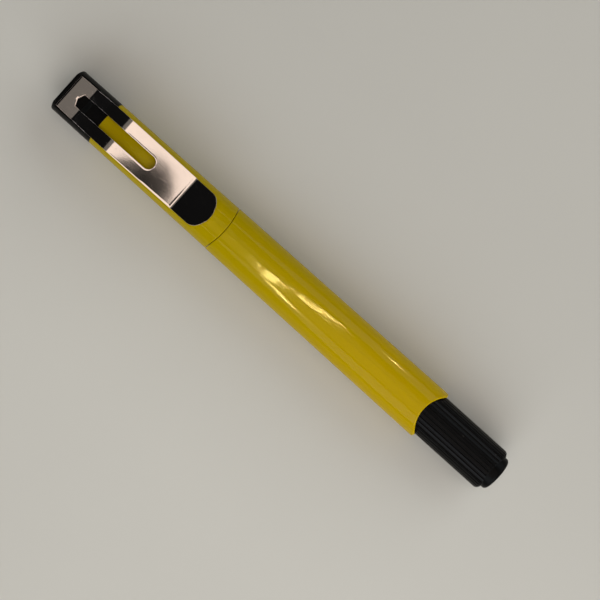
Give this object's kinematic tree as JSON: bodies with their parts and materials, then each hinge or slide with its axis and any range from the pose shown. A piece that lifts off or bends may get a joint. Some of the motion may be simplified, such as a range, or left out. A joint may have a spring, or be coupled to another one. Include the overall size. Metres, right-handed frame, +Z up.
{
  "type": "counterfeit detector pen",
  "caption": "Chemical banknote-testing marker with a pull-off cap, sprung steel pocket clip, fibre nib and reservoir, and a ribbed screw-out tail knob.",
  "frame": {"origin": "middle of the pen's length and width, on the surface that its fattest ring stands on", "axes": "+X along the pen from the capped crown to the tail stub, +Z up through the pocket clip"},
  "size_m": [0.1372, 0.0132, 0.0152],
  "materials": {
    "yellow_plastic": "glossy moulded polypropylene with faint flow marks",
    "black_plastic": "satin black moulded plastic",
    "clip_steel": "bright nickel-plated spring steel",
    "liner_plastic": "waxy natural polyethylene",
    "seal_rubber": "soft black rubber",
    "nib_fibre": "stiff bonded fibre stained amber by the test ink",
    "reservoir_fibre": "soft fibre bundle soaked in amber ink",
    "clear_film": "thin clear wrapping film",
    "felt": "pressed white felt"
  },
  "bodies": {
    "barrel": {"barrel_tube": "yellow_plastic", "front_section": "black_plastic", "cap_seal_ring": "seal_rubber", "nib_sleeve": "liner_plastic", "nib": "nib_fibre", "ink_reservoir": "reservoir_fibre", "reservoir_film": "clear_film", "pressure_pad": "felt", "tail_bush": "black_plastic"},
    "cap": {"cap_crown": "black_plastic", "cap_tube": "yellow_plastic", "inner_cap": "liner_plastic", "clip_root": "clip_steel"},
    "clip": {"clip_arm": "clip_steel"},
    "tail_washer": {"tail_gasket": "seal_rubber"},
    "tail": {"tail_knob": "black_plastic", "tail_end_plug": "black_plastic"}
  },
  "joints": [
    {"name": "cap_pull", "type": "slide", "parent": "barrel", "child": "cap", "axis": [-1, 0, 0], "range_m": [0, 0.034]},
    {"name": "clip_flex", "type": "hinge", "parent": "cap", "child": "clip", "pos_m": [-0.0622, 0, 0.0104], "axis": [0, -1, 0], "range_deg": [0, 4], "stiffness_Nm_per_rad": 2.5},
    {"name": "tail_travel", "type": "slide", "parent": "barrel", "child": "tail_washer", "axis": [1, 0, 0], "range_m": [0, 0.0088]},
    {"name": "tail_turn", "type": "hinge", "parent": "tail_washer", "child": "tail", "pos_m": [0.0472, 0, 0.00665], "axis": [1, 0, 0], "range_deg": [0, 1440]}
  ],
  "couplings": [
    {"joint": "tail_turn", "follows": "tail_travel", "rad_per_m": 2856}
  ]
}
